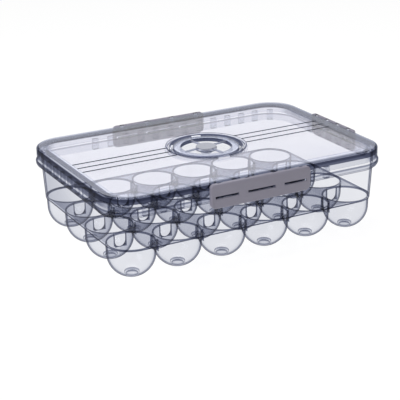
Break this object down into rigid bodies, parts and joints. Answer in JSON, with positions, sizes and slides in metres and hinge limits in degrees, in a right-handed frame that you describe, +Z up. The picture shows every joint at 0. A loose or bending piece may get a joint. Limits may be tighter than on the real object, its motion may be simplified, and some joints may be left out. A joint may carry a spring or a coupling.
{
  "type": "refrigerator storage box",
  "caption": "Clear egg keeper with a moulded tray of round cups, a clear latched lid with a soft seal, hinged side clips and a turning date dial in the lid",
  "frame": {"origin": "on the floor, under the middle of the container, which is the middle of the whole box to within the right clip's projection", "axes": "+Z up, +X to the right along the long side towards the end that carries a clip, -Y to the front, which the picture shows"},
  "size_m": [0.321, 0.225, 0.09],
  "materials": {
    "smoky_clear": "clear moulded plastic with a faint smoky blue tint, polished",
    "clear_seal": "soft translucent sealing ring, satin",
    "grey_clip": "opaque grey plastic with a faint lilac cast, satin",
    "pale_knob": "pale grey plastic, satin"
  },
  "bodies": {
    "container": {"container": "smoky_clear"},
    "lid": {"lid": "smoky_clear", "seal_ring": "clear_seal", "dial_cup": "smoky_clear", "dial_bezel": "smoky_clear"},
    "front_clip": {"front_clip": "grey_clip"},
    "back_clip": {"back_clip": "grey_clip"},
    "right_clip": {"right_clip": "grey_clip"},
    "date_wheel": {"date_wheel": "smoky_clear", "knob_cap": "pale_knob", "wheel_retainer": "smoky_clear"}
  },
  "joints": [
    {"name": "lid_lift", "type": "slide", "parent": "container", "child": "lid", "axis": [0, 0, 1], "range_m": [0, 0.1]},
    {"name": "front_clip_hinge", "type": "hinge", "parent": "lid", "child": "front_clip", "pos_m": [0, -0.1101, 0.0875], "axis": [-1, 0, 0], "range_deg": [0, 110]},
    {"name": "back_clip_hinge", "type": "hinge", "parent": "lid", "child": "back_clip", "pos_m": [0, 0.1101, 0.0875], "axis": [1, 0, 0], "range_deg": [0, 110]},
    {"name": "right_clip_hinge", "type": "hinge", "parent": "lid", "child": "right_clip", "pos_m": [0.1601, 0, 0.0875], "axis": [0, -1, 0], "range_deg": [0, 110]},
    {"name": "date_wheel_spin", "type": "hinge", "parent": "lid", "child": "date_wheel", "pos_m": [0, 0, 0.0845], "axis": [0, 0, 1], "continuous": true}
  ]
}
